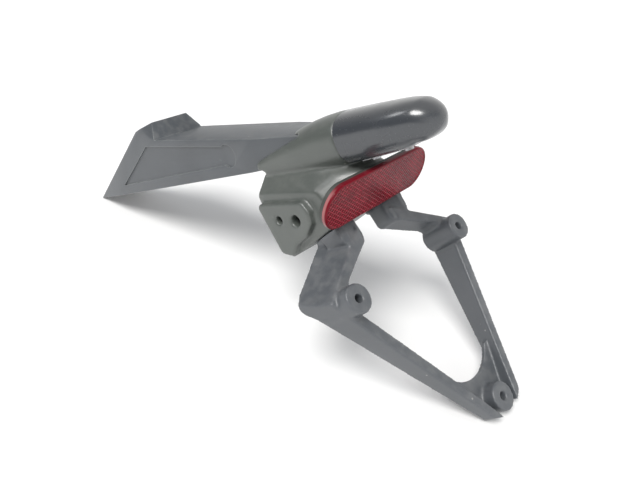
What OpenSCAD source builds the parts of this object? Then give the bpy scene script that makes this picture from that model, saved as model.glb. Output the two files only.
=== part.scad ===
// Tail tidy of a motorbike: a long arm that bolts under the seat, a neck
// housing with a number-plate lamp, a red reflector, two indicator bosses
// and a V-shaped frame that carries the number plate.
// X points to the rear of the bike, Y across it and Z up. The part is drawn
// about the lamp cap's seam, then pitched so that it lies on a flat surface
// on the arm's end edge and the frame's two tips, with the origin on that
// surface below the middle of its length.

/* [Arm] */
// Width of the arm over its side walls
arm_w = 44; // [38:1:52]
// Distance from the lamp cap's seam forward to the arm's end edge
arm_reach = 278; // [230:1:320]
// Length of the sloping end face that bolts to the bike
end_face_l = 114; // [100:1:124]
// Angle of the end face above the horizontal
end_face_angle = 50; // [44:1:56]
// Length of the crown above the end face
crown_l = 26; // [20:1:32]
// Angle of the crown above the horizontal
crown_angle = 32; // [24:1:38]
// Depth of the step from the crown down to the arm's top
crown_step = 14; // [10:0.5:18]
// Slope of the arm's top edge
arm_top_slope = 17.5; // [15:0.5:20]
// Slope of the arm's bottom edge
arm_bottom_slope = 25.7; // [24:0.1:26.5]
// Width of the end face
end_face_w = 35; // [30:1:40]
// Width across the crown's ridge
crown_w = 32; // [26:1:38]
// Wall of the arm's channel
arm_wall = 3; // [2.4:0.1:4]
// Depth of the recessed panel in each side
panel_depth = 1.2; // [0.6:0.1:1.6]
// Number of zigzag ribs inside the channel
arm_ribs = 7; // [4:1:10]
// Outer diameter of the steel sleeves in the end face
sleeve_od = 10; // [8:0.5:12]
// Inner diameter of the steel sleeves
sleeve_id = 6.4; // [5:0.1:7]
// Distance between the sleeves along the end face
sleeve_pitch = 50; // [40:1:56]
// Distance between the sleeves across the end face
sleeve_gauge = 18; // [15:0.5:19]

/* [Neck] */
// Half width of the fairing at the lamp cap's seam
seam_half_w = 20; // [18:0.5:22]
// Width across the faces of the indicator bosses
boss_span = 70; // [66:1:76]
// Diameter of the indicator stem hole
stem_hole_d = 7; // [5:0.1:9]
// Diameter of the indicator locating hole
pin_hole_d = 5.2; // [4:0.1:6]
// Wall of the neck housing
neck_wall = 3; // [2.4:0.1:3.4]

/* [Lamp] */
// Length of the lamp cap from its seam to the start of its nose
cap_l = 46; // [40:1:52]
// Half width of the cap where its nose starts
cap_half_w = 18; // [15:0.5:19]
// Wall of the lamp cap
cap_wall = 2.2; // [1.6:0.1:3]
// Length of the lamp lens
lens_l = 30; // [24:1:34]
// Width of the lamp lens
lens_w = 20; // [16:1:24]

/* [Reflector] */
// Width of the reflector
reflector_w = 93.2; // [86:0.2:98]
// Height of the reflector
reflector_h = 28.4; // [25:0.2:32]
// Thickness of the red lens
reflector_t = 3.6; // [3:0.1:5]
// Thickness of the dark base behind the lens
reflector_base_t = 2; // [1.5:0.1:3]

/* [Plate frame] */
// Half the distance between the two upper plate bosses
plate_half_gauge = 52; // [48:0.5:56]
// Distance from the lower plate boss up to the line of the upper two
plate_drop = 93.2; // [88:0.2:98]
// Tilt of the plate's face back from upright
plate_tilt = 49; // [46:0.5:52]
// Diameter of the plate bosses
plate_boss_d = 17; // [15:0.5:19]
// Diameter of the holes in the plate bosses
plate_hole_d = 5; // [4:0.1:6]
// Width of a leg's front face
leg_w = 7; // [6:0.2:9]
// Depth of a leg at its elbow
leg_depth_top = 20; // [17:0.5:24]
// Depth of a leg at its tip
leg_depth_tip = 9.5; // [8:0.5:12]
// Wall of the frame's channel sections
frame_wall = 2.4; // [1.8:0.1:3]
// Number of cross ribs in each leg
leg_ribs = 5; // [3:1:8]

/* [Fasteners] */
// Thread diameter of the screws
screw_d = 5; // [4:0.5:6]
// Diameter of the screw heads
screw_head_d = 9; // [8:0.5:10]
// Clearance between pieces that fit into each other
fit_gap = 0.15; // [0.1:0.05:0.3]

/* [Hidden] */
$fn = 48;
shell_fn = 48;
far = 400;

// The arm's outline, seen from the side, about the lamp cap's seam.
arm_end = [-arm_reach, 0];
end_dir = [cos(end_face_angle), sin(end_face_angle)];
end_top = arm_end + end_face_l * end_dir;
crown = end_top + crown_l * [cos(crown_angle), sin(crown_angle)];
step_foot = crown + crown_step * [cos(-44), sin(-44)];
top_dir = [cos(arm_top_slope), sin(arm_top_slope)];
top_up = [-sin(arm_top_slope), cos(arm_top_slope)];
bottom_dir = [cos(arm_bottom_slope), sin(arm_bottom_slope)];
bottom_down = [sin(arm_bottom_slope), -cos(arm_bottom_slope)];
arm_rear_x = -24;
function on_top(x) = step_foot + (x - step_foot[0]) / top_dir[0] * top_dir;
function on_bottom(x) = arm_end + (x + arm_reach) / bottom_dir[0] * bottom_dir;
// Distance from the end face over which the side walls spread to full width.
end_taper_l = 18;

// The fairing's sections: centre [x, z], tilt, half width, half height above
// and below the centre.
seam = [-1.5, 141];
seam_tilt = 32;
seam_up = 15;
seam_down = 13.5;
cap_tilt = 12;
cap_end = seam + cap_l * [cos(27.4), sin(27.4)];
cap_half_h = 11.8;
cap_nose = 6;
fairing_mid = [-31, 124];
fairing_front = [-59.5, 107.5];
// Lengths of the fairing between two of its sections.
fairing_steps = 8;

// The reflector's front face.
reflector_face = [17.8, 116.4];
reflector_lean = 4;

// The plate's plane: its origin is the lower boss's front face.
plate_origin = [116.9, 18.8];
bar_z = -8.6;
bar_depth_out = 25.4;
bar_depth_in = 16;
elbow = [plate_half_gauge + 11.2, plate_drop + 4.9];
leg_foot = [15.6, -4.4];
ear_in = 13;
ear_out = 28.5;
ear_top = 132;
ear_back = -24.5;
ear_lean = 17;
bar_lean = 19.7;
front_slope = 8.9 / 98.5;
function leg_front(y) = -(y - leg_foot[1]) * front_slope;
function leg_depth(y) = leg_depth_tip + (leg_depth_top - leg_depth_tip) * y / 94;

// The pitch and shift that lay the part on the surface.
tip_low = [8.9, -8.2];
tip_x = plate_origin[0] - sin(plate_tilt) * tip_low[1] - cos(plate_tilt) * leg_depth(tip_low[1]);
tip_z = plate_origin[1] + cos(plate_tilt) * tip_low[1]
        + sin(plate_tilt) * (leg_front(tip_low[1]) - leg_depth(tip_low[1]));
rest_tilt = atan2(tip_z, tip_x + arm_reach);
// Both ends of the part after it is laid down, and the middle between them.
rear_x = -arm_reach + (plate_origin[0] - sin(plate_tilt) * tip_low[1]
         + cos(plate_tilt) * leg_front(tip_low[1]) + arm_reach) * cos(rest_tilt)
         + (plate_origin[1] + cos(plate_tilt) * tip_low[1]
         + sin(plate_tilt) * leg_front(tip_low[1])) * sin(rest_tilt);
middle_x = (rear_x - arm_reach) / 2;

// Arm details.
arm_rear_w = 32;
arm_narrow_x = -66;
arm_narrow_end = -30;
panel_top = 5;
panel_bottom = 8;
panel_end_x = -88;
panel_corner = 34;
// Height above the arm's top at which the crown's sides start to lean in.
crown_lean_from = 1;
rib_front_x = -196;
rib_rear_x = -70;
rib_t = 2;
sleeve_mid = 62;
sleeve_l = 11;
sleeve_flange_t = 1;
arm_screw_x = [-50, -38];
arm_screw_seat = 3;
screw_bite = 10;

// Neck details.
neck_half_top = 20.5;
neck_half_crest = 12;
lip_x = -54;
neck_half_low = 30;
neck_half_rear = 11;
stem_hole = [-15.6, 92.5];
pin_hole = [-29.1, 87.2];
bulkhead_t = 3;
grommet_d = 9;
cap_screw_y = 12;
stud_l = 14;
// Slot in the neck's top through which the lamp's wires run.
wire_slot = [-9, 124];
wire_slot_l = 9;
wire_slot_w = 12;
// Centre of an ear's screw: distance across and out of the plate.
ear_screw = [20.5, -18.5];
function frame_seat(z) = plate_origin + ear_top * [-sin(plate_tilt), cos(plate_tilt)]
                         + z * [cos(plate_tilt), sin(plate_tilt)];

// Lamp details.
lens_c = [21.7, 140];
lens_slope = 30.4;
lens_proud = 1.4;
lens_rim = 0.5;
lens_seat = 3;
gasket_t = 0.8;
lens_screw_d = 3;
tray_h = 7;

// Plate frame details.
boss_at = [plate_half_gauge, plate_drop];
bar_rise = 0.6;
bar_w_in = 9;
bar_w_out = 6.6;
bend_y = 90.7;
// Height of the bar's upper edge at a distance across.
function bar_y(x) = elbow[1] - (x - elbow[0]) * bar_rise;
ear_r = 4;
ear_low = bar_y(ear_in + ear_r) - bar_w_in;
plate_boss_l = 26;
web_z = -8.5;
web_t = 3;
web_low = 15.8;
web_r = 25;
frame_screw_l = 14;
washer_t = 1;

// Lays the whole part on the surface.
module laid_down() {
    translate([-middle_x, 0, 0])
        translate([-arm_reach, 0, 0])
            rotate([0, rest_tilt, 0])
                translate([arm_reach, 0, 0])
                    children();
}

// Extrudes an outline drawn in X and Z to both sides of the middle.
module side_extrude(w) {
    rotate([90, 0, 0])
        translate([0, 0, -w / 2])
            linear_extrude(w)
                children();
}

// Puts what is drawn about the end face's lower edge on the arm: X along the
// face, Y across the arm and Z out of the face.
module on_end_face() {
    translate([arm_end[0], 0, arm_end[1]])
        rotate([0, -end_face_angle, 0])
            children();
}

// Puts what is drawn about the lower plate boss in its place: X across,
// Y up the plate and Z out of the plate.
module on_plate() {
    translate([plate_origin[0], 0, plate_origin[1]])
        rotate([0, -plate_tilt, 0])
            rotate([90, 0, 90])
                children();
}

// One superellipse section of the fairing.
function section(c, tilt, a, up, down, e_up = 2.3, e_down = 2.9) = [
    for (i = [0:shell_fn - 1])
        let (t = 360 * i / shell_fn,
             e = cos(t) > 0 ? e_up : e_down,
             u = sign(cos(t)) * pow(abs(cos(t)), 2 / e) * (cos(t) > 0 ? up : down),
             s = sign(sin(t)) * pow(abs(sin(t)), 2 / e) * a)
            [c[0] - sin(tilt) * u, s, c[1] + cos(tilt) * u]];

// Joins a row of sections, front to rear, into one closed solid.
module loft(rings) {
    n = len(rings[0]);
    polyhedron(
        points = [for (r = rings) each r],
        faces = concat(
            [[for (i = [n - 1:-1:0]) i]],
            [[for (i = [0:n - 1]) (len(rings) - 1) * n + i]],
            [for (k = [0:len(rings) - 2], i = [0:n - 1])
                let (j = (i + 1) % n)
                    [k * n + i, k * n + j, (k + 1) * n + j, (k + 1) * n + i]]),
        convexity = 4);
}

// The value at k, from 0 to 1, of the parabola through three values.
function through(a, b, c, k) =
    a * (1 - k) * (1 - 2 * k) + b * 4 * k * (1 - k) + c * k * (2 * k - 1);

// The fairing's solid from its front to the lamp cap's seam, less an inset.
module fairing_form(inset = 0) {
    loft([for (i = [0:fairing_steps])
        let (k = i / fairing_steps)
            section(through(fairing_front, fairing_mid, seam, k),
                    through(19, 24, seam_tilt, k),
                    through(24.4, 21.5, seam_half_w, k) - inset,
                    through(7.5, 15, seam_up, k) - inset,
                    through(7.5, 14, seam_down, k) - inset)]);
}

// The arm's outline from the side.
module arm_outline() {
    polygon([arm_end, end_top, crown, step_foot, on_top(arm_rear_x), on_bottom(arm_rear_x)]);
}

// The spread of the side walls behind the end face, less an inset.
module end_taper(inset) {
    w0 = end_face_w / 2 - inset;
    w1 = arm_w / 2 - inset;
    on_end_face()
        translate([-far, 0, 0])
            rotate([0, 90, 0])
                linear_extrude(3 * far)
                    polygon([[-1, w0], [0, w0], [end_taper_l, w1], [far, w1],
                             [far, -w1], [end_taper_l, -w1], [0, -w0], [-1, -w0]]);
}

// The narrowing of the arm where the fairing closes over it.
module rear_taper(inset) {
    w1 = arm_w / 2 - inset;
    w2 = arm_rear_w / 2 - inset;
    translate([0, 0, -far])
        linear_extrude(2 * far)
            polygon([[-far, w1], [arm_narrow_x, w1], [arm_narrow_end, w2], [far, w2],
                     [far, -w2], [arm_narrow_end, -w2], [arm_narrow_x, -w1], [-far, -w1]]);
}

// The slope of the sides above the line of the arm's top, as on the crown.
module crown_taper(inset) {
    high = (crown - step_foot) * top_up;
    w1 = arm_w / 2 - inset;
    w2 = crown_w / 2 - inset;
    w3 = w2 - (w1 - w2) / (high - crown_lean_from) * 4;
    translate([step_foot[0], 0, step_foot[1]])
        rotate([0, -arm_top_slope, 0])
            translate([-far, 0, 0])
                rotate([90, 0, 90])
                    linear_extrude(2 * far)
                        polygon([[-w1, -far], [-w1, crown_lean_from], [-w3, high + 4],
                                 [w3, high + 4], [w1, crown_lean_from], [w1, -far]]);
}

// The arm's outer form with nothing taken out, or its inner form.
module arm_form(inset = 0) {
    intersection() {
        side_extrude(2 * arm_w)
            offset(delta = -inset)
                arm_outline();
        end_taper(inset);
        rear_taper(inset);
        crown_taper(inset);
    }
}

// Outline of the recessed panel on the arm's side, with a round rear end.
module panel_outline() {
    top_end = on_top(panel_end_x) - panel_top * top_up;
    bottom_end = on_bottom(panel_end_x) - panel_bottom * bottom_down;
    intersection() {
        polygon([on_top(-far) - panel_top * top_up, top_end,
                 bottom_end, on_bottom(-far) - panel_bottom * bottom_down]);
        translate(arm_end)
            rotate(end_face_angle)
                translate([panel_corner, -2 * far - end_taper_l])
                    square([2 * far, 2 * far]);
    }
    translate((top_end + bottom_end) / 2)
        circle(d = norm(top_end - bottom_end));
}

// The zigzag of ribs, seen from above.
module zigzag() {
    step = (rib_rear_x - rib_front_x) / arm_ribs;
    for (i = [0:arm_ribs - 1]) {
        side = i % 2 == 0 ? 1 : -1;
        a = [rib_front_x + i * step, side * arm_w / 2];
        b = [rib_front_x + (i + 1) * step, -side * arm_w / 2];
        across = rib_t / 2 * [-(b - a)[1], (b - a)[0]] / norm(b - a);
        polygon([a - across, b - across, b + across, a + across]);
    }
}

// Places for the sleeves in the end face.
module at_sleeves() {
    for (i = [-1, 1], j = [-1, 1])
        on_end_face()
            translate([sleeve_mid + i * sleeve_pitch / 2, j * sleeve_gauge / 2, 0])
                children();
}

// Places for the screws that hold the arm in the neck.
module at_arm_screws() {
    for (x = arm_screw_x)
        translate([on_bottom(x)[0], 0, on_bottom(x)[1]])
            rotate([0, -arm_bottom_slope, 0])
                children();
}

module arm() {
    color([0.36, 0.38, 0.40])
        difference() {
            union() {
                difference() {
                    arm_form();
                    // The channel, open along the bottom.
                    arm_form(arm_wall);
                    translate(2 * arm_wall * [bottom_down[0], 0, bottom_down[1]])
                        arm_form(arm_wall);
                }
                intersection() {
                    arm_form(arm_wall / 2);
                    union() {
                        linear_extrude(far)
                            zigzag();
                        at_sleeves()
                            translate([0, 0, -sleeve_l])
                                cylinder(d = sleeve_od + 5, h = sleeve_l);
                        at_arm_screws()
                            cylinder(d = screw_d + 5, h = far);
                    }
                }
            }
            for (s = [-1, 1])
                translate([0, s * (arm_w / 2 - panel_depth + far / 2), 0])
                    side_extrude(far)
                        panel_outline();
            at_sleeves()
                translate([0, 0, -far / 2])
                    cylinder(d = sleeve_od + 2 * fit_gap, h = far);
            at_arm_screws()
                cylinder(d = screw_d + 2 * fit_gap, h = screw_bite);
        }
}

module mount_sleeves() {
    color([0.70, 0.70, 0.72])
        at_sleeves()
            difference() {
                union() {
                    translate([0, 0, -sleeve_l])
                        cylinder(d = sleeve_od, h = sleeve_l);
                    translate([0, 0, -sleeve_l - sleeve_flange_t])
                        cylinder(d = sleeve_od + 4, h = sleeve_flange_t);
                }
                translate([0, 0, -2 * sleeve_l])
                    cylinder(d = sleeve_id, h = 3 * sleeve_l);
            }
}

// A point of the reflector's seat on the neck, at a height.
function reflector_seat(z) =
    [reflector_face[0] - (reflector_t + reflector_base_t) / cos(reflector_lean)
     + (z - reflector_face[1]) * tan(reflector_lean), z];

// The neck's solid below the fairing, less an inset.
module neck_form(inset = 0) {
    hull() {
        side_extrude(2 * (neck_half_crest - inset))
            offset(delta = -inset)
                polygon([on_bottom(-57) + [0, 0.5], on_bottom(-24) + [0, 0.5], [-2, 127],
                         [2, 119], [-50, 90]]);
        side_extrude(2 * (neck_half_top - inset))
            offset(delta = -inset)
                polygon([[-57, 103], [0, 122.5], [2, 119], [-54, 97]]);
        side_extrude(2 * (neck_half_low - inset))
            offset(delta = -inset)
                polygon([[-52, 92], [-30, 64], [-21, 62], frame_seat(-52), frame_seat(-9),
                         reflector_seat(100), reflector_seat(104), [-6, 113.5], [-52, 94.5]]);
        side_extrude(2 * (neck_half_rear - inset))
            offset(delta = -inset)
                polygon([[-5, 100], reflector_seat(100), reflector_seat(127), [0, 128]]);
    }
}

// Outline of an indicator boss.
module indicator_outline() {
    offset(r = 3)
        offset(delta = -3)
            polygon([[-49.5, 90], [-12, 106.5], [-5.5, 102], [-3.5, 95], [-6.6, 85.5],
                     [-13.5, 77], [-15.7, 67], [-26, 64.5]]);
}

// Places on the end of the fairing, Z towards the rear.
module on_seam() {
    translate([seam[0], 0, seam[1]])
        rotate([0, 90 - seam_tilt, 0])
            children();
}

// The hood over the arm's end, closed by a bulkhead at the lamp cap's seam.
module fairing() {
    color([0.35, 0.37, 0.34])
        difference() {
            fairing_form();
            difference() {
                fairing_form(neck_wall);
                on_seam()
                    translate([-far / 2, -far / 2, -bulkhead_t])
                        cube([far, far, far]);
            }
            neck_form();
            arm_form(-fit_gap);
            // The mouth's lower lip ends at the neck's front.
            side_extrude(far)
                polygon([on_bottom(-80), on_bottom(lip_x), [lip_x, 0], [-80, 0]]);
            at_cap_screws()
                cylinder(d = screw_d + 4 * fit_gap - 1, h = far / 8, center = true);
            on_seam()
                cylinder(d = grommet_d, h = 4 * bulkhead_t, center = true);
        }
}

module neck_housing() {
    color([0.35, 0.37, 0.34])
        difference() {
            union() {
                neck_form();
                for (s = [-1, 1])
                    translate([0, s * (boss_span / 4 + neck_half_low / 2 - 1), 0])
                        side_extrude(boss_span / 2 - neck_half_low + 2)
                            indicator_outline();
            }
            // Room for the arm.
            arm_form(-fit_gap);
            // Inside of the neck, open to the front below and up to the arm.
            neck_form(neck_wall);
            translate([-2.5 * neck_wall, 0, -2.5 * neck_wall])
                intersection() {
                    neck_form(neck_wall);
                    translate([-far, -far / 2, 0])
                        cube([far - 24, far, 84]);
                }
            translate([wire_slot[0], 0, wire_slot[1]])
                cube([wire_slot_l, wire_slot_w, 8 * neck_wall], center = true);
            translate([stem_hole[0], 0, stem_hole[1]])
                rotate([90, 0, 0])
                    cylinder(d = stem_hole_d, h = far, center = true);
            translate([pin_hole[0], 0, pin_hole[1]])
                rotate([90, 0, 0])
                    cylinder(d = pin_hole_d, h = far, center = true);
            at_arm_screws()
                cylinder(d = screw_d + 4 * fit_gap, h = 4 * neck_wall, center = true);
            at_frame_screws()
                cylinder(d = screw_d + 4 * fit_gap, h = 3 * neck_wall, center = true);
            on_reflector()
                cylinder(d = screw_d + 4 * fit_gap, h = 40, center = true);
        }
}

// A screw along Z: its head below and its shank up from the origin.
module screw(d, head_d, l) {
    difference() {
        union() {
            translate([0, 0, -0.6 * d])
                cylinder(d = head_d, h = 0.6 * d);
            cylinder(d = d, h = l);
        }
        translate([0, 0, -0.7 * d])
            cylinder(d = 0.5 * d, h = 0.4 * d, $fn = 6);
    }
}

module arm_screws() {
    color([0.25, 0.25, 0.26])
        at_arm_screws()
            translate([0, 0, -arm_screw_seat])
                screw(screw_d, screw_head_d, screw_bite + arm_screw_seat - 1);
}

// The cap's outer form, or with an inset the room inside it.
module cap_form(inset = 0) {
    rows = 8;
    nose = 7;
    loft(concat(
        [for (i = [0:rows])
            let (k = i / rows)
                section(seam + (cap_end - seam) * k,
                        seam_tilt + (cap_tilt - seam_tilt) * k,
                        seam_half_w + (cap_half_w - seam_half_w) * k - inset,
                        seam_up + (cap_half_h - seam_up) * k - inset,
                        seam_down + (cap_half_h - seam_down) * k - inset)],
        [for (i = [1:nose])
            let (t = 87 * i / nose)
                section(cap_end + (cap_nose - inset * 0.5) * sin(t) * [cos(cap_tilt), sin(cap_tilt)],
                        cap_tilt,
                        (cap_half_w - inset) * pow(cos(t), 0.6),
                        (cap_half_h - inset) * pow(cos(t), 0.8),
                        (cap_half_h - inset) * pow(cos(t), 0.8))]));
}

// Places at the lens: X along the cap's underside, Z into the cap.
module on_lens() {
    translate([lens_c[0], 0, lens_c[1]])
        rotate([0, -lens_slope, 0])
            children();
}

// A block with round corners, about the lens, from z0 to z1.
module lens_block(l, w, z0, z1, r = 3) {
    translate([0, 0, z0])
        linear_extrude(z1 - z0)
            for (k = [0:1])
                square([l - 2 * r * k, w - 2 * r * (1 - k)], center = true);
    for (i = [-1, 1], j = [-1, 1])
        translate([i * (l / 2 - r), j * (w / 2 - r), z0])
            cylinder(r = r, h = z1 - z0);
}

module at_lens_screws() {
    for (i = [-1, 1])
        on_lens()
            translate([i * (lens_l / 2 - 3.5), 0, 0])
                children();
}

// Places for the two screws through the bulkhead into the cap, Z rearward.
module at_cap_screws() {
    for (i = [-1, 1])
        on_seam()
            translate([0, i * cap_screw_y, 0])
                children();
}

module lamp_cap() {
    color([0.06, 0.06, 0.07])
        difference() {
            union() {
                difference() {
                    cap_form();
                    difference() {
                        cap_form(cap_wall);
                        on_seam()
                            translate([-far / 2, -far / 2, -1])
                                cube([far, far, 1 + cap_wall]);
                    }
                }
                intersection() {
                    cap_form();
                    union() {
                        on_lens()
                            lens_block(lens_l + 4, lens_w + 4, -4, lens_seat + 2);
                        at_cap_screws()
                            cylinder(d = screw_d + 3, h = 11);
                    }
                }
                on_lens()
                    lens_block(lens_l + 3, lens_w + 3, -lens_rim, lens_seat);
            }
            // The lens's seat and the light's way out above it.
            on_lens() {
                lens_block(lens_l + 2 * fit_gap, lens_w + 2 * fit_gap, -far / 8, lens_seat);
                lens_block(lens_l - 12, lens_w - 4, -1, lens_seat + tray_h + 1);
            }
            at_lens_screws()
                cylinder(d = lens_screw_d + 2 * fit_gap, h = lens_seat + 4);
            at_cap_screws()
                cylinder(d = screw_d - 1 + 2 * fit_gap, h = 9);
            on_seam()
                cylinder(d = grommet_d - 3, h = 10, center = true);
        }
}

module lamp_lens() {
    color([0.90, 0.92, 0.93])
        difference() {
            on_lens()
                lens_block(lens_l, lens_w, -lens_proud, lens_seat - gasket_t);
            on_lens()
                lens_block(lens_l - 13, lens_w - 5, -lens_proud + 1.6, far / 16);
            at_lens_screws()
                cylinder(d = lens_screw_d + 4 * fit_gap, h = far / 8, center = true);
        }
}

module lens_gasket() {
    color([0.08, 0.08, 0.08])
        difference() {
            on_lens()
                lens_block(lens_l, lens_w, lens_seat - gasket_t, lens_seat);
            on_lens()
                lens_block(lens_l - 12, lens_w - 4, 0, far / 16);
            at_lens_screws()
                cylinder(d = lens_screw_d + 4 * fit_gap, h = far / 8, center = true);
        }
}

module lens_screws() {
    color([0.62, 0.62, 0.64])
        at_lens_screws()
            translate([0, 0, -lens_proud])
                screw(lens_screw_d, lens_screw_d + 2.5, lens_proud + lens_seat + 3);
}

module cap_screws() {
    color([0.62, 0.62, 0.64])
        at_cap_screws()
            translate([0, 0, -bulkhead_t])
                screw(screw_d - 1, screw_head_d - 1.5, bulkhead_t + 8);
}

// The white tray that holds the bulb above the lens.
module lamp_tray() {
    color([0.88, 0.88, 0.86])
        on_lens()
            difference() {
                lens_block(lens_l - 12.6, lens_w - 4.6, lens_seat + 0.6, lens_seat + tray_h, 2);
                translate([0, 0, lens_seat])
                    lens_block(lens_l - 16, lens_w - 8, 0, tray_h - 1.4, 1.5);
            }
}

module lamp_bulb() {
    color([0.95, 0.93, 0.85])
        on_lens()
            translate([0, 0, lens_seat + 3.6])
                rotate([0, 90, 0])
                    union() {
                        cylinder(d = 4.6, h = lens_l - 20, center = true);
                        for (s = [-1, 1])
                            translate([0, 0, s * (lens_l - 18) / 2])
                                cylinder(d = 3.6, h = 2, center = true);
                    }
}

module wire_grommet() {
    color([0.07, 0.07, 0.07])
        on_seam()
            difference() {
                union() {
                    translate([0, 0, -bulkhead_t])
                        cylinder(d = grommet_d - 2 * fit_gap, h = bulkhead_t);
                    translate([0, 0, -bulkhead_t - 1.5])
                        cylinder(d = grommet_d + 3, h = 1.5);
                }
                translate([0, 0, -3 * bulkhead_t])
                    cylinder(d = grommet_d - 4.5, h = 6 * bulkhead_t);
            }
}

// Places on the reflector's front face: Z out of it, to the rear.
module on_reflector() {
    translate([reflector_face[0], 0, reflector_face[1]])
        rotate([0, 90 + reflector_lean, 0])
            children();
}

// A slab with round ends, w across and h high, from z0 to z1.
module stadium(w, h, z0, z1) {
    translate([0, 0, z0])
        linear_extrude(z1 - z0)
            union() {
                square([h, w - h], center = true);
                for (s = [-1, 1])
                    translate([0, s * (w - h) / 2])
                        circle(d = h, $fn = 96);
            }
}

module reflector_lens() {
    color([0.62, 0.05, 0.07])
        on_reflector()
            stadium(reflector_w, reflector_h, -reflector_t, 0);
}

module reflector_base() {
    color([0.10, 0.10, 0.10])
        on_reflector() {
            stadium(reflector_w - 1, reflector_h - 1, -reflector_t - reflector_base_t, -reflector_t);
        }
}

module reflector_stud() {
    color([0.62, 0.62, 0.64])
        on_reflector()
            translate([0, 0, -reflector_t - reflector_base_t - stud_l])
                cylinder(d = screw_d, h = stud_l);
}

module reflector_nut() {
    color([0.62, 0.62, 0.64])
        on_reflector()
            translate([0, 0, -reflector_t - reflector_base_t - neck_wall - 4.2])
                difference() {
                    cylinder(d = 1.8 * screw_d, h = 0.8 * screw_d, $fn = 6);
                    translate([0, 0, -1])
                        cylinder(d = screw_d + 2 * fit_gap, h = 2 * screw_d);
                }
}

// Outline of one leg, from the elbow to the tip, seen square to the plate.
module leg_outline() {
    run = elbow - leg_foot;
    up = run / norm(run);
    inward = [-up[1], up[0]];
    // The top edge lies just inside the bar's outer face.
    polygon([elbow - 1.2 * up, leg_foot, tip_low, tip_low + [1.2, 4],
             leg_foot + 8 * up + (leg_w - 1.5) * inward,
             elbow - 10 * up + leg_w * inward, boss_at, [boss_at[0], bar_y(boss_at[0]) - 0.8]]);
}

// Outline of all that lies above one bar's inner edge, as far as the line of
// the leg's outer edge.
module bar_outline() {
    run = elbow - leg_foot;
    up = run / norm(run);
    inner = boss_at[0] - plate_boss_d / 2;
    // The outer corner behind the elbow is round.
    polygon([elbow + [-8, 40], elbow + [-2.6, 11.4], elbow + [0.2, 9.2], elbow + [1.6, 6.4],
             elbow + 3 * up, elbow - 9 * up, boss_at, [inner, bar_y(inner) - bar_w_out],
             [ear_in + ear_r, ear_low], [ear_in + ear_r, ear_top + 20]]);
}

// All that lies inside the bar's outer face, which leans up the plate
// towards the back, less a skin.
module below_bar_face(skin) {
    translate([elbow[0], elbow[1], bar_z])
        rotate([0, 0, -atan(bar_rise)])
            rotate([bar_lean, 0, 0])
                translate([-far / 2, -far - skin, -far / 2])
                    cube([far, far, far]);
}

// Side profile of the frame, along the plate and out of it. With a skin the
// front moves back by it and the back lies open.
module frame_profile(skin = 0) {
    open = skin > 0 ? far / 4 : 0;
    rotate([90, 0, 90])
        linear_extrude(far, center = true)
            polygon([[-12, leg_front(-12) - skin], [bend_y, bar_z - skin], [ear_top, bar_z - skin],
                     [ear_top, bar_z - bar_depth_out - open],
                     [elbow[1] + 8, bar_z - bar_depth_out - open],
                     [elbow[1] + 2, bar_z - bar_depth_out + 1 - open],
                     [elbow[1] - 4, leg_front(94) - leg_depth(94) - 0.6 - open],
                     [-12, leg_front(-12) - leg_depth(-12) - open]]);
}

// Extrudes an outline through the depth of the frame.
module through_frame() {
    translate([0, 0, -far / 2])
        linear_extrude(far)
            children();
}

// Half of the frame's channel, solid, or with a skin the hollow inside it.
module half_form(skin = 0) {
    intersection() {
        union() {
            through_frame()
                offset(delta = -skin)
                    leg_outline();
            intersection() {
                through_frame()
                    offset(delta = -skin)
                        bar_outline();
                below_bar_face(skin);
            }
        }
        frame_profile(skin);
    }
}

module half_channel() {
    difference() {
        half_form();
        half_form(frame_wall);
        // The inner wall of the bar is shallower than the outer one.
        intersection() {
            translate([0, ear_low - 30, bar_z - bar_depth_in - far])
                cube([boss_at[0], far, far]);
            below_bar_face(frame_wall);
        }
    }
    // Cross ribs inside the leg.
    intersection() {
        through_frame()
            offset(delta = -frame_wall / 2)
                leg_outline();
        frame_profile(frame_wall / 2);
        frame_profile();
        for (i = [1:leg_ribs])
            translate([0, i * (boss_at[1] - 12) / (leg_ribs + 1), -far / 2])
                cube([far, rib_t, far]);
    }
}

// The block at the bar's inner end, with its front leaning inwards, and the
// wall that runs up from the bar's outer face beside it.
module ear() {
    difference() {
        translate([0, 0, ear_back])
            linear_extrude(-ear_back)
                union() {
                    translate([ear_in + ear_r, ear_low])
                        square([ear_out - ear_in - ear_r, ear_top - ear_low]);
                    translate([ear_in, ear_low + ear_r])
                        square([ear_out - ear_in, ear_top - ear_low - ear_r]);
                    translate([ear_in + ear_r, ear_low + ear_r])
                        circle(r = ear_r);
                }
        translate([ear_out, 0, bar_z])
            rotate([0, -ear_lean, 0])
                translate([-far, 0, 0])
                    cube([2 * far, far, far]);
    }
    difference() {
        translate([ear_out - frame_wall, ear_low, bar_z - bar_depth_out])
            cube([frame_wall, ear_top - ear_low, bar_depth_out]);
        below_bar_face(frame_wall);
    }
}

// Places of the three plate bosses.
module at_plate_bosses() {
    for (p = [[-boss_at[0], boss_at[1]], boss_at, [0, 0]])
        on_plate()
            translate([p[0], p[1], 0])
                children();
}

// Places on the frame's seat for the screws out of the neck into the ears,
// Z down the plate.
module at_frame_screws() {
    for (s = [-1, 1])
        on_plate()
            translate([s * ear_screw[0], ear_top, ear_screw[1]])
                rotate([90, 0, 0])
                    children();
}

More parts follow.
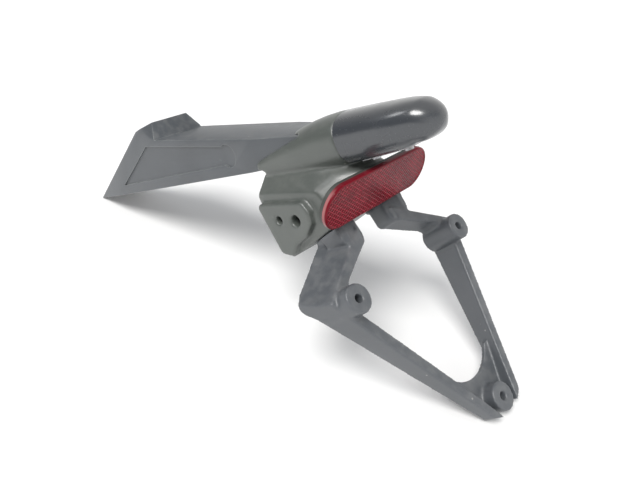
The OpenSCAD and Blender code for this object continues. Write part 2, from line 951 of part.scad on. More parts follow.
module plate_frame() {
    color([0.28, 0.30, 0.33])
        difference() {
            union() {
                for (m = [0, 1])
                    on_plate()
                        mirror([m, 0, 0]) {
                            half_channel();
                            ear();
                        }
                on_plate()
                    for (s = [-1, 1])
                        translate([s * boss_at[0], boss_at[1], -plate_boss_l])
                            cylinder(d = plate_boss_d, h = plate_boss_l);
                // The web between the tips, with the lower boss on it.
                on_plate()
                    translate([0, 0, web_z - web_t])
                        linear_extrude(web_t)
                            difference() {
                                polygon([[-12, -4], [12, -4], [25, 26], [-25, 26]]);
                                translate([0, web_low + web_r])
                                    circle(r = web_r, $fn = 72);
                            }
                // The lower boss, cut back so that it clears the surface.
                on_plate()
                    intersection() {
                        translate([0, 0, web_z - web_t])
                            cylinder(d = plate_boss_d, h = web_t - web_z);
                        rotate([90, 0, 90])
                            linear_extrude(2 * plate_boss_d, center = true)
                                polygon([[-9.5, -6.5], [-4, web_z - web_t + 0.2],
                                         [20, web_z - web_t - 1], [20, 1], [-9.5, 1]]);
                    }
            }
            at_plate_bosses()
                translate([0, 0, -far / 2])
                    cylinder(d = plate_hole_d, h = far);
            at_frame_screws()
                cylinder(d = screw_d + 2 * fit_gap, h = frame_screw_l);
        }
}

module frame_screws() {
    color([0.62, 0.62, 0.64])
        at_frame_screws()
            translate([0, 0, -neck_wall - washer_t])
                screw(screw_d, screw_head_d, neck_wall + washer_t + frame_screw_l - 1);
}

module frame_washers() {
    color([0.70, 0.70, 0.72])
        at_frame_screws()
            translate([0, 0, -neck_wall - washer_t])
                difference() {
                    cylinder(d = screw_head_d + 3, h = washer_t);
                    translate([0, 0, -1])
                        cylinder(d = screw_d + 2 * fit_gap, h = 3);
                }
}

laid_down() arm();
laid_down() mount_sleeves();
laid_down() fairing();
laid_down() neck_housing();
laid_down() arm_screws();
laid_down() lamp_cap();
laid_down() lamp_lens();
laid_down() lens_gasket();
laid_down() lamp_tray();
laid_down() lamp_bulb();
laid_down() lens_screws();
laid_down() cap_screws();
laid_down() reflector_lens();
laid_down() reflector_base();
laid_down() reflector_stud();
laid_down() reflector_nut();
laid_down() plate_frame();
laid_down() frame_screws();
laid_down() frame_washers();
laid_down() wire_grommet();
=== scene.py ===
"""The looks of the tail tidy: its rounded mouldings, glossy lamp cap, red
reflector and their finishes, with the floor, the light and the camera."""
import math

import bmesh
import bpy
import numpy as np
from mathutils import Matrix, Vector


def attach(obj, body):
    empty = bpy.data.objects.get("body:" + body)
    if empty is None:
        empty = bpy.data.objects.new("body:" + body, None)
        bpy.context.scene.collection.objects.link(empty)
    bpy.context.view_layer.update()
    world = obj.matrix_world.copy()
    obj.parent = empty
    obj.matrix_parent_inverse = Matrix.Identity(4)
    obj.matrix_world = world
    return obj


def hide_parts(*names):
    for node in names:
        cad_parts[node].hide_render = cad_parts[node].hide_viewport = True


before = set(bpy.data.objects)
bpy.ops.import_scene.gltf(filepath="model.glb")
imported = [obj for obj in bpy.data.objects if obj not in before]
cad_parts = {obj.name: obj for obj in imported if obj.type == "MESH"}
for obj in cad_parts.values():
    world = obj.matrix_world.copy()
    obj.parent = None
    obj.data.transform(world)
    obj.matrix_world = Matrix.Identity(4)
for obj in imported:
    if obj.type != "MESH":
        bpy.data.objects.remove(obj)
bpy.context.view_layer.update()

# Places

# The part is drawn in millimetres about the lamp cap's seam, then pitched
# about the arm's end edge and moved so that its middle is over the origin.
MM = 0.001
ARM_REACH = 278.0
REST_TILT = math.radians(1.0432)
MIDDLE = -77.2518


def laid(x, y, z):
    """Points in metres, from places in millimetres about the seam: turned
    about the arm's end edge by the rest tilt, then moved along X."""
    along = x + ARM_REACH
    turned = along * math.cos(REST_TILT) + z * math.sin(REST_TILT)
    high = z * math.cos(REST_TILT) - along * math.sin(REST_TILT)
    return np.stack([turned - ARM_REACH - MIDDLE, y, high], axis=-1) * MM


# Camera

CAMERA_PLACE = (176.284, -244.428, 261.527)
CAMERA_YAW = 0.688296
CAMERA_PITCH = 0.567477
CAMERA_ROLL = 0.053333
CAMERA_LENS = 31.7206


def in_scene(name, data):
    """An object for some data, linked to the scene."""
    thing = bpy.data.objects.new(name, data)
    bpy.context.scene.collection.objects.link(thing)
    return thing


def make_camera():
    """The camera at the photograph's place: yaw, pitch and roll before the
    part's own rest tilt."""
    data = bpy.data.cameras.new("camera")
    data.sensor_width = 36.0
    data.lens = CAMERA_LENS
    data.clip_start = 0.01
    camera = in_scene("camera", data)
    camera.matrix_world = (
        Matrix.Translation(Vector(laid(*CAMERA_PLACE)))
        @ Matrix.Rotation(REST_TILT, 4, "Y")
        @ Matrix.Rotation(CAMERA_YAW, 4, "Z")
        @ Matrix.Rotation(math.pi / 2 - CAMERA_PITCH, 4, "X")
        @ Matrix.Rotation(CAMERA_ROLL, 4, "Z")
    )
    bpy.context.scene.camera = camera


# Finishes

class Amount:
    """A number, colour or vector in a finish's nodes. Sums with it add Math
    nodes."""

    def __init__(self, finish, socket):
        self.finish = finish
        self.socket = socket

    def __add__(self, other):
        return self.finish.maths("ADD", self, other)

    def __radd__(self, other):
        return self.finish.maths("ADD", other, self)

    def __sub__(self, other):
        return self.finish.maths("SUBTRACT", self, other)

    def __rsub__(self, other):
        return self.finish.maths("SUBTRACT", other, self)

    def __mul__(self, other):
        return self.finish.maths("MULTIPLY", self, other)

    def __rmul__(self, other):
        return self.finish.maths("MULTIPLY", other, self)


class Finish:
    """The nodes of a material or of the world."""

    def __init__(self, owner):
        self.owner = owner
        owner.use_nodes = True
        self.tree = owner.node_tree
        self.tree.nodes.clear()

    def node(self, kind, settings=None, sockets=None, output=0):
        """Adds a node of a type, with its settings first and then the
        values or links of its sockets, and gives one of its outputs if it
        has any."""
        node = self.tree.nodes.new(kind)
        for key, value in (settings or {}).items():
            setattr(node, key, value)
        for key, value in (sockets or {}).items():
            if isinstance(value, Amount):
                self.tree.links.new(value.socket, node.inputs[key])
            else:
                node.inputs[key].default_value = value
        return Amount(self, node.outputs[output]) if node.outputs else None

    def maths(self, operation, first, second=0.0):
        """A number from one or two others."""
        return self.node("ShaderNodeMath", {"operation": operation}, {0: first, 1: second})

    def dot(self, first, second):
        """The dot product of two vectors."""
        return self.node(
            "ShaderNodeVectorMath", {"operation": "DOT_PRODUCT"}, {0: first, 1: second}, 1
        )

    def part(self, vector, axis):
        """One number of a vector: axis 0 for X, 1 for Y and 2 for Z."""
        return self.node("ShaderNodeSeparateXYZ", None, {0: vector}, axis)

    def place(self):
        """Where a point lies, in the frame's metres."""
        return self.node("ShaderNodeTexCoord", output="Object")

    def turned(self, place, angles, stretch=(1, 1, 1), centre=(0, 0, 0)):
        """The place about a centre, turned and stretched."""
        moved = self.node(
            "ShaderNodeVectorMath", {"operation": "SUBTRACT"}, {0: place, 1: centre}
        )
        return self.node(
            "ShaderNodeMapping", None, {"Vector": moved, "Rotation": angles, "Scale": stretch}
        )

    def noise(self, place, size, detail=2.0):
        """Noise from 0 to 1 whose blobs are about size metres wide."""
        return self.node(
            "ShaderNodeTexNoise", None, {"Vector": place, "Scale": 1 / size, "Detail": detail}
        )

    def rise(self, value, low, high):
        """0 below low, 1 above high and smooth between them."""
        return self.node(
            "ShaderNodeMapRange",
            {"interpolation_type": "SMOOTHSTEP"},
            {"Value": value, "From Min": low, "From Max": high},
        )

    def blend(self, factor, first, second):
        """A colour between two, by a factor from 0 to 1."""
        return self.node(
            "ShaderNodeMix", {"data_type": "RGBA"}, {0: factor, 6: first, 7: second}, 2
        )

    def upward(self):
        """How far a surface faces up, from -1 to 1."""
        return self.part(self.node("ShaderNodeTexCoord", output="Normal"), 2)

    def edges(self, radius):
        """1 on edges that turn sharply within a radius, 0 on open faces."""
        rounded = self.node("ShaderNodeBevel", {"samples": 4}, {"Radius": radius})
        flat = self.node("ShaderNodeNewGeometry", output="Normal")
        return self.rise(1 - self.dot(rounded, flat), 0.01, 0.16)

    def bump(self, height, metres):
        """A normal from a height of 0 to 1 that stands for some metres."""
        return self.node("ShaderNodeBump", None, {"Height": height, "Distance": metres})

    def specks(self, place, size, share):
        """Small round specks in a share of the cells of a size."""
        away, pick = (
            self.node("ShaderNodeTexVoronoi", None, {"Vector": place, "Scale": 1 / size}, output)
            for output in ("Distance", "Color")
        )
        chosen = self.rise(self.part(pick, 0), 1 - share, 1.001 - share)
        return self.rise(1 - away, 0.84, 0.92) * chosen

    def surface(self, **sockets):
        """Joins a Principled shader with these sockets to the output, with
        spaces in the sockets' names written as underscores."""
        named = {key.replace("_", " "): value for key, value in sockets.items()}
        shader = self.node("ShaderNodeBsdfPrincipled", None, named)
        self.node("ShaderNodeOutputMaterial", None, {0: shader})
        return self.owner


def new_finish(name):
    """The empty finish of a new material."""
    return Finish(bpy.data.materials.new(name))


def linear(red, green, blue):
    """A colour for a socket from three display values of 0 to 255: each is
    raised to 2.2 after division by 255."""
    return tuple((v / 255) ** 2.2 for v in (red, green, blue)) + (1.0,)


DUST = linear(196, 194, 188)
CAP_DUST = linear(176, 172, 164)


def moulded_plastic(name, deep, plain, worn, gloss, grain, relief, dusty, coat=0.0):
    """Moulded plastic: slow changes of tone, a fine grain, faint scuffs,
    paler worn edges and a little dust on what faces up."""
    finish = new_finish(name)
    place = finish.place()
    tone = finish.rise(finish.noise(place, 0.045, 3.0), 0.3, 0.7)
    cloud = finish.noise(place, 0.006, 4.0)
    fine = finish.noise(place, grain, 2.0)
    streaks = finish.noise(finish.turned(place, (0.3, 0.5, 0.2), (1.0, 9.0, 5.0)), 0.016, 3.0)
    scuffs = finish.rise(streaks, 0.60, 0.72) * finish.rise(cloud, 0.45, 0.65)
    edge = finish.edges(0.0011)
    dust = finish.rise(finish.upward(), 0.35, 0.95) * finish.rise(cloud, 0.35, 0.7) * dusty
    speck = finish.specks(place, 0.0045, 0.025)
    colour = finish.blend(tone * 0.7 + fine * 0.3, linear(*deep), linear(*plain))
    wear = scuffs * 0.16 + edge * (0.3 + cloud * 0.6)
    colour = finish.blend(wear, colour, linear(*worn))
    colour = finish.blend(dust * 0.5 + speck * 0.45, colour, DUST)
    rough = gloss + (fine - 0.5) * 0.10 + scuffs * 0.10 + dust * 0.5 - edge * 0.05
    height = fine * 0.8 + cloud * 0.2 - scuffs * 0.3
    return finish.surface(
        Base_Color=colour,
        Roughness=rough,
        Specular_IOR_Level=0.9,
        Coat_Weight=coat,
        Coat_Roughness=0.4,
        Normal=finish.bump(height, relief),
    )


def glossy_plastic(name):
    """The lamp cap's black plastic: smooth and shiny, with a faint ripple,
    hairline scratches, smears and dust on its top."""
    finish = new_finish(name)
    place = finish.place()
    ripple = finish.noise(place, 0.0045, 2.0)
    smear = finish.rise(finish.noise(place, 0.018, 4.0), 0.45, 0.75)
    hairs = finish.noise(finish.turned(place, (0.2, 0.9, 0.5), (1.0, 30.0, 12.0)), 0.012, 2.0)
    scratch = finish.rise(hairs, 0.66, 0.72)
    fine = finish.noise(place, 0.0005, 2.0)
    dust = finish.rise(finish.upward(), 0.45, 0.98) * (0.6 + fine * 0.4)
    colour = finish.blend(smear * 0.5, linear(60, 63, 67), linear(68, 71, 75))
    colour = finish.blend(dust * 0.10 + scratch * 0.03, colour, CAP_DUST)
    rough = 0.24 + smear * 0.08 + scratch * 0.05 + dust * 0.06
    return finish.surface(
        Base_Color=colour,
        Roughness=rough,
        Coat_Weight=0.5 - smear * 0.2,
        Coat_Roughness=0.2,
        Specular_IOR_Level=0.8,
        Normal=finish.bump(ripple, 0.00004),
    )


# The reflector's width and height, the middle of its face and how far the
# face leans back. Then what lies on it, in metres: the width of a row of
# prisms and the turn of each set, the middle of a round end, and where the
# clear rim, the painted highlight on the far ends and the painted shade on
# the sides begin and are whole.
REFLECTOR_W = 95.6
REFLECTOR_H = 27.4
REFLECTOR_FACE = (17.8, 115.4)
REFLECTOR_LEAN = math.radians(4.0)
PRISM_PITCH = 0.0022
PRISM_TURNS = (0.94, -0.85, math.pi / 2)
END_MIDDLE = (REFLECTOR_W - REFLECTOR_H) / 2 * MM
RIM = (0.0122, 0.0126)
FAR_END_HIGHLIGHT = (0.0385, 0.0450)
SIDE_DEPTH = (0.0007, 0.0016)


def red_prisms(name):
    """The reflector's red lens: corner prisms in rows behind a smooth face,
    painted dark where they send the light away and with painted highlights
    along their edges, with a clear rim round them, painted shade on its sides
    and a painted highlight on the sides at its far ends."""
    finish = new_finish(name)
    centre = tuple(laid(REFLECTOR_FACE[0], 0.0, REFLECTOR_FACE[1]))
    flat = finish.turned(finish.place(), (0, -REFLECTOR_LEAN - REST_TILT, 0), centre=centre)
    rows = []
    for turn in PRISM_TURNS:
        axis = (0.0, math.cos(turn) / PRISM_PITCH, math.sin(turn) / PRISM_PITCH)
        rows.append(finish.maths("PINGPONG", finish.dot(flat, axis), 0.5))
    ridge_a = finish.rise(rows[0], 0.36, 0.48)
    ridge_b = finish.rise(rows[1], 0.30, 0.46)
    facet_shade = finish.rise(rows[2], 0.1, 0.4)
    out, across, height = (finish.part(flat, axis) for axis in range(3))
    away = finish.maths("ABSOLUTE", across)
    past = finish.maths("MAXIMUM", away - END_MIDDLE, 0.0)
    rim = finish.rise(finish.maths("SQRT", past * past + height * height), *RIM)
    end = finish.rise(away, *FAR_END_HIGHLIGHT)
    side = finish.rise(0 - out, *SIDE_DEPTH)
    patch = finish.rise(finish.noise(flat, 0.016, 2.0), 0.42, 0.62)
    # Painted highlights along the prism ridges, and painted shade on the facets that send the
    # light away.
    field = finish.blend(ridge_a * 0.8, linear(104, 14, 28), linear(206, 56, 74))
    field = finish.blend(ridge_b * 0.75, field, linear(200, 62, 80))
    field = finish.blend(facet_shade * 0.30, field, linear(70, 4, 14))
    field = finish.blend(patch * 0.45, field, linear(84, 12, 26))
    colour = finish.blend(rim, field, linear(112, 20, 34))
    # Painted shade on the lens's sides, and a painted highlight on the sides at the far ends.
    colour = finish.blend(side * 0.8, colour, linear(104, 40, 46))
    colour = finish.blend(side * end * 0.6, colour, linear(190, 128, 128))
    return finish.surface(
        Base_Color=colour,
        Roughness=0.14 + finish.noise(flat, 0.004, 3.0) * 0.12,
        Specular_IOR_Level=0.18,
        Normal=finish.bump((ridge_a + ridge_b) * (1 - rim), 0.00025),
    )


def clear_plastic(name):
    """The lamp lens: clear plastic, a little milky, with fine ribs across."""
    finish = new_finish(name)
    place = finish.place()
    ribs = finish.node(
        "ShaderNodeTexWave", {"bands_direction": "X"}, {"Vector": place, "Scale": 210.0}
    )
    haze = finish.noise(place, 0.004, 3.0)
    return finish.surface(
        Base_Color=finish.blend(haze, linear(226, 230, 232), linear(246, 247, 246)),
        Roughness=0.16 + haze * 0.14,
        IOR=1.49,
        Transmission_Weight=0.3,
        Normal=finish.bump(ribs, 0.0002),
    )


def plain_moulding(name, colour, darker, gloss, grain):
    """A small hidden moulding: one colour with a fine grain and a faint
    change of tone."""
    finish = new_finish(name)
    place = finish.place()
    fine = finish.noise(place, grain, 3.0)
    tone = finish.noise(place, 0.008, 3.0)
    return finish.surface(
        Base_Color=finish.blend(tone * 0.6 + fine * 0.4, linear(*darker), linear(*colour)),
        Roughness=gloss + (fine - 0.5) * 0.15,
        Normal=finish.bump(fine, 0.00003),
    )


def plated_steel(name, colour, darker, gloss):
    """Plated steel: turned marks, a little tarnish and brighter edges."""
    finish = new_finish(name)
    place = finish.place()
    marks = finish.noise(finish.turned(place, (0, 0.86, 0), (1, 1, 14)), 0.002, 2.0)
    tarnish = finish.rise(finish.noise(place, 0.003, 4.0), 0.5, 0.8)
    edge = finish.edges(0.0004)
    metal = finish.blend(tarnish * 0.8, linear(*colour), linear(*darker))
    return finish.surface(
        Base_Color=finish.blend(edge * 0.5, metal, linear(222, 222, 224)),
        Metallic=1.0 - tarnish * 0.25,
        Roughness=gloss + marks * 0.16 + tarnish * 0.15,
        Normal=finish.bump(marks, 0.00002),
    )


def bulb_glass(name):
    """The bulb's glass: milky, with a warm tone in clouds."""
    finish = new_finish(name)
    cloud = finish.noise(finish.place(), 0.003, 2.0)
    return finish.surface(
        Base_Color=finish.blend(cloud, linear(250, 240, 214), linear(252, 250, 240)),
        Roughness=0.12 + cloud * 0.1,
        Transmission_Weight=0.3,
        IOR=1.5,
    )


ARM_PLASTIC = moulded_plastic(
    "arm_plastic", deep=(67, 71, 75), plain=(79, 83, 87), worn=(140, 144, 142),
    gloss=0.42, grain=0.0007, relief=0.00005, dusty=0.2,
)
HOOD_PLASTIC = moulded_plastic(
    "hood_plastic", deep=(76, 81, 77), plain=(89, 93, 89), worn=(140, 144, 138),
    gloss=0.36, grain=0.0009, relief=0.00003, dusty=0.15, coat=0.12,
)
FRAME_PLASTIC = moulded_plastic(
    "frame_plastic", deep=(77, 81, 85), plain=(89, 92, 96), worn=(138, 141, 142),
    gloss=0.44, grain=0.0006, relief=0.00005, dusty=0.2,
)
CAP_PLASTIC = glossy_plastic("cap_plastic")
RED_LENS = red_prisms("red_lens")
CLEAR_LENS = clear_plastic("clear_lens")
DARK_BASE = plain_moulding("dark_base", (76, 78, 74), (60, 62, 59), 0.5, 0.0006)
WHITE_PLASTIC = plain_moulding("white_plastic", (232, 232, 228), (214, 214, 208), 0.4, 0.0008)
SEAL_RUBBER = plain_moulding("seal_rubber", (38, 38, 38), (24, 24, 25), 0.75, 0.0004)
STEEL = plated_steel("steel", (190, 190, 194), (132, 128, 120), 0.26)
DARK_STEEL = plated_steel("dark_steel", (70, 70, 74), (44, 42, 42), 0.36)
BULB_GLASS = bulb_glass("bulb_glass")


# Shapes

def add_piece(name, mesh, material, slot, angle, *nodes):
    """A piece in its place, smooth up to an angle, that rides on the body,
    takes its material and stands for its nodes; its slot is not used."""
    mesh.name = name
    mesh.shade_smooth()
    mesh.set_sharp_from_angle(angle=math.radians(angle))
    mesh.materials.clear()
    mesh.materials.append(material)
    piece = in_scene(name, mesh)
    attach(piece, "root")
    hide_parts(*nodes)


def round_skin(name, rows):
    """A closed mesh from rows of points, each row once round and the first
    and last row drawn in to a line or point: neighbours in a row and in the
    next row make a four-sided face, and faces that would point inwards, by
    the sign of the volume, are turned over."""
    count, around = rows.shape[:2]
    row = np.arange(count - 1)[:, None] * around
    step = np.arange(around)[None, :]
    after = (step + 1) % around
    faces = np.stack([row + step, row + after, row + around + after, row + around + step], -1)
    faces = faces.reshape(-1, 4)
    points = rows.reshape(-1, 3)
    corner = points[faces]
    volume = np.einsum("ij,ij->", corner[:, 0], np.cross(corner[:, 1], corner[:, 2]))
    volume += np.einsum("ij,ij->", corner[:, 0], np.cross(corner[:, 2], corner[:, 3]))
    if volume < 0:
        faces = faces[:, ::-1]
    mesh = bpy.data.meshes.new(name)
    mesh.from_pydata(points.tolist(), [], faces.tolist())
    shape = bmesh.new()
    shape.from_mesh(mesh)
    bmesh.ops.remove_doubles(shape, verts=shape.verts, dist=1e-6)
    shape.to_mesh(mesh)
    shape.free()
    return mesh


def cad_copy(*nodes):
    """A copy of some CAD nodes as one mesh, its loose triangles merged and
    its flat faces made whole."""
    shape = bmesh.new()
    for node in nodes:
        shape.from_mesh(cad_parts[node].data)
    bmesh.ops.remove_doubles(shape, verts=shape.verts, dist=2e-6)
    bmesh.ops.dissolve_limit(
        shape, angle_limit=math.radians(0.4), verts=shape.verts, edges=shape.edges
    )
    mesh = bpy.data.meshes.new(nodes[0])
    shape.to_mesh(mesh)
    shape.free()
    return mesh


def worked(mesh, kind, **settings):
    """The mesh that a modifier with these settings makes of another."""
    solid = in_scene("solid", mesh)
    modifier = solid.modifiers.new("work", kind)
    for key, value in settings.items():
        setattr(modifier, key, value)
    graph = bpy.context.evaluated_depsgraph_get()
    result = bpy.data.meshes.new_from_object(solid.evaluated_get(graph), depsgraph=graph)
    bpy.data.objects.remove(solid)
    return result


def rounded_piece(name, material, slot, node, width):
    """A CAD node again with its sharp edges rounded by a bevel."""
    mesh = worked(
        cad_copy(node), "BEVEL",
        width=width, segments=2, limit_method="ANGLE", angle_limit=math.radians(28.0),
    )
    add_piece(name, mesh, material, slot, 50.0, node)


def remade(mesh, voxel):
    """A mesh made again on a fine grid, so that pieces that run into each
    other become one skin."""
    return worked(mesh, "REMESH", mode="VOXEL", voxel_size=voxel)


def eased(mesh, passes, weight=None):
    """Draws each point halfway towards the mean of its neighbours along
    edges, times its weight, as many times as there are passes."""
    points = np.empty(len(mesh.vertices) * 3)
    mesh.vertices.foreach_get("co", points)
    points = points.reshape(-1, 3)
    edges = np.empty(len(mesh.edges) * 2, dtype=np.int32)
    mesh.edges.foreach_get("vertices", edges)
    first = np.concatenate([edges[0::2], edges[1::2]])
    second = np.concatenate([edges[1::2], edges[0::2]])
    count = np.bincount(first, minlength=len(points))[:, None]
    share = 0.5 if weight is None else 0.5 * weight(points)[:, None]
    for _ in range(passes):
        total = [np.bincount(first, points[second, k], len(points)) for k in range(3)]
        points = points + share * (np.stack(total, axis=1) / count - points)
    mesh.vertices.foreach_set("co", points.reshape(-1))
    mesh.update()


# Lamp cap

# The body runs from the seam to its end, and the nose goes on from there.
# Each pair of sizes is at the seam and at the body's end. Each nose value
# is where the rounding starts and the power that it follows.
SEAM = np.array([-1.5, 141.0])
SEAM_TILT = math.radians(32.0)
CAP_TILT = math.radians(12.0)
CAP_RISE = math.radians(27.4)
CAP_BODY = 46.0
CAP_LENGTH = 58.0
CAP_END = SEAM + CAP_BODY * np.array([math.cos(CAP_RISE), math.sin(CAP_RISE)])
CAP_HALF_W = (20.0, 18.0)
CAP_UP = (15.0, 11.8)
CAP_DOWN = (14.2, 12.7)
NOSE_FROM_ABOVE = (24.0, 2.4)
NOSE_FROM_SIDE = (32.0, 2.6)
TOP_POWER = 2.3
UNDER_POWER = 2.9
AROUND = 120
CAP_ROWS = 44


def oval_rows(centre, tilt, half_w, up, down):
    """Rows of points round superellipses: across is the half width times
    sin t to 2/e, and up the section's tilted axis is the half height times
    cos t to 2/e, with one e in the upper half and one in the lower."""
    turn = np.linspace(0, 2 * np.pi, AROUND, endpoint=False)[None, :]
    top = np.cos(turn) > 0
    power = 2 / np.where(top, TOP_POWER, UNDER_POWER)
    reach = np.where(top, up[:, None], down[:, None])
    rise = np.sign(np.cos(turn)) * np.abs(np.cos(turn)) ** power * reach
    side = np.sign(np.sin(turn)) * np.abs(np.sin(turn)) ** power * half_w[:, None]
    x = centre[:, :1] - np.sin(tilt)[:, None] * rise
    z = centre[:, 1:] + np.cos(tilt)[:, None] * rise
    return laid(x, side, z)


def between(sizes, share):
    """A size that changes evenly from the first to the last."""
    return sizes[0] + (sizes[1] - sizes[0]) * share


def nose(along, start, power):
    """What is left of a size along the cap: the square root of one minus
    the share of the way from the start to the tip, to a power."""
    share = np.clip((along - start) / (CAP_LENGTH - start), 0, 1)
    return np.sqrt(1 - share ** power)


def cap_rows():
    """The cap's rows, drawn in to a point at each end. Along the body the
    half width, height and depth of the section change evenly, times what
    the nose leaves of them."""
    sine = np.sin(np.linspace(0, np.pi / 2, CAP_ROWS))
    along = np.concatenate([[0.0, 0.0], CAP_LENGTH * sine[1:]])
    drawn = np.concatenate([[0.0], np.ones(CAP_ROWS)])
    body = np.minimum(along / CAP_BODY, 1.0)
    past = np.maximum(along - CAP_BODY, 0.0)[:, None]
    ahead = np.array([math.cos(CAP_TILT), math.sin(CAP_TILT)])
    centre = SEAM + (CAP_END - SEAM) * body[:, None] + past * ahead
    tilt = SEAM_TILT + (CAP_TILT - SEAM_TILT) * body
    from_side = nose(along, *NOSE_FROM_SIDE) * drawn
    half_w = between(CAP_HALF_W, body) * nose(along, *NOSE_FROM_ABOVE) * drawn
    up = between(CAP_UP, body) * from_side
    down = between(CAP_DOWN, body) * from_side
    return oval_rows(centre, tilt, half_w, up, down)


def make_lamp_cap():
    """The cap's smooth outer skin with its long round nose."""
    skin = round_skin("lamp_cap_skin", cap_rows())
    add_piece("lamp_cap_skin", skin, CAP_PLASTIC, "cap_plastic", 60.0, "lamp_cap")


# Hood and neck

HOOD_GRID = 0.0008
CREASE_HEIGHT = 121.5
CREASE_SLOPE = 0.342
CREASE_WIDTH = 7.0


def crease(points):
    """1 along the line where the hood flows into the neck, which climbs by
    its slope along X, and a bell curve to 0 about it."""
    x = points[:, 0] / MM + MIDDLE
    z = points[:, 2] / MM + (x + ARM_REACH) * math.sin(REST_TILT)
    away = (z - (CREASE_HEIGHT + CREASE_SLOPE * x)) / CREASE_WIDTH
    return np.exp(-away * away)


def make_hood():
    """The hood and neck as one moulding: made again on a fine grid, its
    edges eased, and the line between the two eased most."""
    mesh = remade(cad_copy("fairing", "neck_housing"), HOOD_GRID)
    eased(mesh, 24, crease)
    eased(mesh, 7)
    add_piece(
        "hood_and_neck", mesh, HOOD_PLASTIC, "hood_plastic", 180.0, "fairing", "neck_housing"
    )


# Plate frame

# Places across and up the plate and out of it, in millimetres. The block
# that fills an ear's wedge runs from its back to a little behind the bar's
# face, and its front slopes back on its inner side. Its outer edge is given
# from the foot up.
PLATE_ORIGIN = (116.9, 18.8)
PLATE_TILT = math.radians(49.0)
FRAME_GRID = 0.00075
EAR_LOW = 116.82
EAR_TOP = 132.0
EAR_INNER = 13.4
EAR_ROUND = 5.0
EAR_BACK = -24.3
EAR_OUTER = (
    (28.6, EAR_LOW - 3.0), (29.6, 118.5), (31.6, 123.0), (32.6, EAR_TOP - 0.4),
)
BAR_FACE = -8.6
BEHIND_FACE = 0.3
SLOPE_FROM = 17.5
FRONT_SLOPE = 0.5


def on_plate(points):
    """Metres from places on the plate: across, up the plate and out of it,
    turned back by the plate's tilt."""
    up = points[..., 1]
    out = points[..., 2]
    x = PLATE_ORIGIN[0] - up * math.sin(PLATE_TILT) + out * math.cos(PLATE_TILT)
    z = PLATE_ORIGIN[1] + up * math.cos(PLATE_TILT) + out * math.sin(PLATE_TILT)
    return laid(x, points[..., 0], z)


def plate_block(outline, back, front):
    """A closed block on the plate: an outline of points across and up,
    carried from the back to a front that differs by point, and closed by
    fans about the outline's middle."""
    flat = np.repeat(outline.mean(axis=0)[None, :], len(outline), axis=0)
    back = np.full(len(outline), back)
    mean_front = np.full(len(outline), front.mean())
    ends = ((flat, back), (outline, back), (outline, front), (flat, mean_front))
    rows = np.stack([np.column_stack(end) for end in ends])
    return round_skin("plate_block", on_plate(rows))


def make_frame():
    """The plate frame as one moulding: the wedge between each ear and its
    bar is filled, with a hollow curve at its inner foot, and all edges are
    eased."""
    shape = bmesh.new()
    shape.from_mesh(cad_copy("plate_frame"))
    turn = np.radians(np.linspace(180, 260, 9))
    middle = np.array([EAR_INNER + EAR_ROUND, EAR_LOW + EAR_ROUND])
    arc = middle + EAR_ROUND * np.stack([np.cos(turn), np.sin(turn)], axis=1)
    outline = np.concatenate([arc, EAR_OUTER, [(EAR_INNER, EAR_OUTER[-1][1])]])
    inwards = np.maximum(0.0, SLOPE_FROM - outline[:, 0])
    front = BAR_FACE - BEHIND_FACE - inwards * FRONT_SLOPE
    for side in (-1, 1):
        shape.from_mesh(plate_block(outline * (side, 1), EAR_BACK, front))
    merged = bpy.data.meshes.new("plate_frame")
    shape.to_mesh(merged)
    shape.free()
    mesh = remade(merged, FRAME_GRID)
    eased(mesh, 5)
    add_piece(
        "plate_frame_moulding", mesh, FRAME_PLASTIC, "frame_plastic", 180.0, "plate_frame"
    )


# Reflector

# The lens is drawn from its back to its face at 0, with a rim round the
# shallow field of prisms, and the base lies behind it.
LENS_BACK = -3.0
FIELD_DEPTH = -0.25
BASE_BACK = -5.6
BASE_INSET = 0.5


def reflector_rows(half_w, half_h, profile):
    """Rows round a shape with straight long sides and round ends: each row
    of the profile is an inset from the outline and a place out of the
    face. The outline goes once round two half circles, whose centres stay
    where they are as the radius shrinks by the inset."""
    turn = np.linspace(0, 2 * np.pi, 144, endpoint=False) + np.pi / 144
    centre = (half_w - half_h) * np.sign(np.cos(turn))
    inset = profile[:, 0][:, None]
    out = profile[:, 1][:, None]
    radius = half_h - inset
    across = centre[None, :] + radius * np.cos(turn)[None, :]
    up = radius * np.sin(turn)[None, :]
    lean = REFLECTOR_LEAN
    x = REFLECTOR_FACE[0] + up * math.sin(lean) + out * math.cos(lean)
    z = REFLECTOR_FACE[1] + up * math.cos(lean) - out * math.sin(lean)
    return laid(x, across, z)


def reflector_piece(name, material, slot, inset, profile, node):
    """A piece of the reflector from its inset from the whole outline and
    the profile of its edge, closed at the middle of its back and face."""
    half_h = REFLECTOR_H / 2 - inset
    closed = np.array([[half_h, profile[0][1]], *profile, [half_h, profile[-1][1]]])
    skin = round_skin(name, reflector_rows(REFLECTOR_W / 2 - inset, half_h, closed))
    add_piece(name, skin, material, slot, 30.0, node)


def make_reflector():
    """The red lens with its rounded rim and shallow step down to the field
    of prisms, and the dark base behind it."""
    bend = np.radians(np.linspace(0, 90, 7))
    rim = np.stack([1.0 - np.cos(bend), -1.0 + np.sin(bend)], axis=1)
    lens = [
        [0.3, LENS_BACK], [0.0, LENS_BACK + 0.2], *rim,
        [1.3, 0.0], [1.6, FIELD_DEPTH], [4.0, FIELD_DEPTH],
    ]
    reflector_piece("reflector_lens_skin", RED_LENS, "red_lens", 0.0, lens, "reflector_lens")
    base = [[0.5, BASE_BACK], [0.0, BASE_BACK + 0.5], [0.0, LENS_BACK]]
    reflector_piece(
        "reflector_base_skin", DARK_BASE, "dark_base", BASE_INSET, base, "reflector_base"
    )


# The part

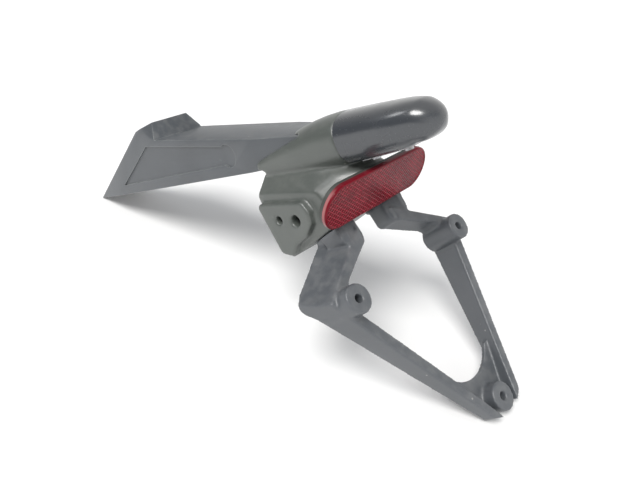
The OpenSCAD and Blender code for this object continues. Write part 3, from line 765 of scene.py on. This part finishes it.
# The CAD nodes that keep their shape, by their finish.
PAINTED = (
    (SEAL_RUBBER, ("lens_gasket", "wire_grommet")),
    (WHITE_PLASTIC, ("lamp_tray",)),
    (BULB_GLASS, ("lamp_bulb",)),
    (STEEL, ("mount_sleeves", "lens_screws", "cap_screws", "reflector_stud")),
    (STEEL, ("reflector_nut", "frame_screws", "frame_washers")),
    (DARK_STEEL, ("arm_screws",)),
)


def make_part():
    """Every piece of the part with its finish."""
    rounded_piece("arm_channel", ARM_PLASTIC, "arm_plastic", "arm", 0.0008)
    make_hood()
    make_frame()
    rounded_piece("lamp_lens_cover", CLEAR_LENS, "clear_lens", "lamp_lens", 0.0005)
    make_lamp_cap()
    make_reflector()
    for material, nodes in PAINTED:
        for node in nodes:
            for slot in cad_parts[node].material_slots:
                slot.material = material


# Floor and light

# The share of plain white that the camera sees in the floor, and the way
# to the room's dark side, on the camera's left.
HALF_FLOOR = 6.0
FLOOR_COLOUR = (0.95, 0.95, 0.945, 1.0)
FLOOR_GLOW = 0.10
WHITE = (1.0, 1.0, 1.0, 1.0)
PALE_SIDE = (1.0, 1.0, 0.99, 1.0)
DARK_SIDE = (0.12, 0.12, 0.13, 1.0)
OVERHEAD = (0.32, 0.33, 0.35, 1.0)
TO_DARK_SIDE = (-0.60, -0.80, 0.0)


def make_floor():
    """A plain white floor that keeps the object's shadow."""
    mesh = bpy.data.meshes.new("floor")
    corners = [
        (x * HALF_FLOOR, y * HALF_FLOOR, 0.0) for x, y in ((-1, -1), (1, -1), (1, 1), (-1, 1))
    ]
    mesh.from_pydata(corners, [], [(0, 1, 2, 3)])
    finish = new_finish("floor_white")
    seen = finish.node("ShaderNodeLightPath", output="Is Camera Ray")
    plain = finish.node("ShaderNodeBsdfDiffuse", None, {"Color": FLOOR_COLOUR})
    white = finish.node("ShaderNodeEmission", None, {"Strength": 1.0})
    both = finish.node("ShaderNodeMixShader", None, {0: seen * FLOOR_GLOW, 1: plain, 2: white})
    finish.node("ShaderNodeOutputMaterial", None, {0: both})
    mesh.materials.append(finish.owner)
    in_scene("floor", mesh)


def make_room():
    """A pale room, dark low down on the camera's left and grey overhead,
    and plain white where the camera itself sees it."""
    world = bpy.data.worlds.new("studio")
    bpy.context.scene.world = world
    room = Finish(world)
    way = room.node("ShaderNodeTexCoord", output="Generated")
    dark = room.rise(room.dot(way, TO_DARK_SIDE), -0.3, 0.7)
    walls = room.blend(dark, PALE_SIDE, DARK_SIDE)
    colour = room.blend(room.rise(room.part(way, 2), 0.25, 0.80), walls, OVERHEAD)
    seen = room.node("ShaderNodeLightPath", output="Is Camera Ray")
    shown = room.blend(seen, colour, WHITE)
    back = room.node("ShaderNodeBackground", None, {"Color": shown})
    room.node("ShaderNodeOutputWorld", None, {"Surface": back})


def add_lamp(name, power, spread, colour, aim):
    """A far, soft lamp: its power, how wide it looks in degrees, its colour
    and the way that its light goes."""
    data = bpy.data.lights.new(name, "SUN")
    data.energy = power
    data.angle = math.radians(spread)
    data.color = colour
    lamp = in_scene(name, data)
    lamp.location = -Vector(aim)
    lamp.rotation_euler = Vector(aim).to_track_quat("-Z", "Y").to_euler()


make_camera()
make_room()
add_lamp("ceiling", 2.7, 28.0, (1.0, 0.99, 0.975), (-0.12, 0.50, -0.86))
add_lamp("window", 0.34, 17.0, (0.97, 0.98, 1.0), (0.60, 0.41, -0.69))
make_floor()
make_part()

view = bpy.context.scene.view_settings
view.view_transform = "Standard"
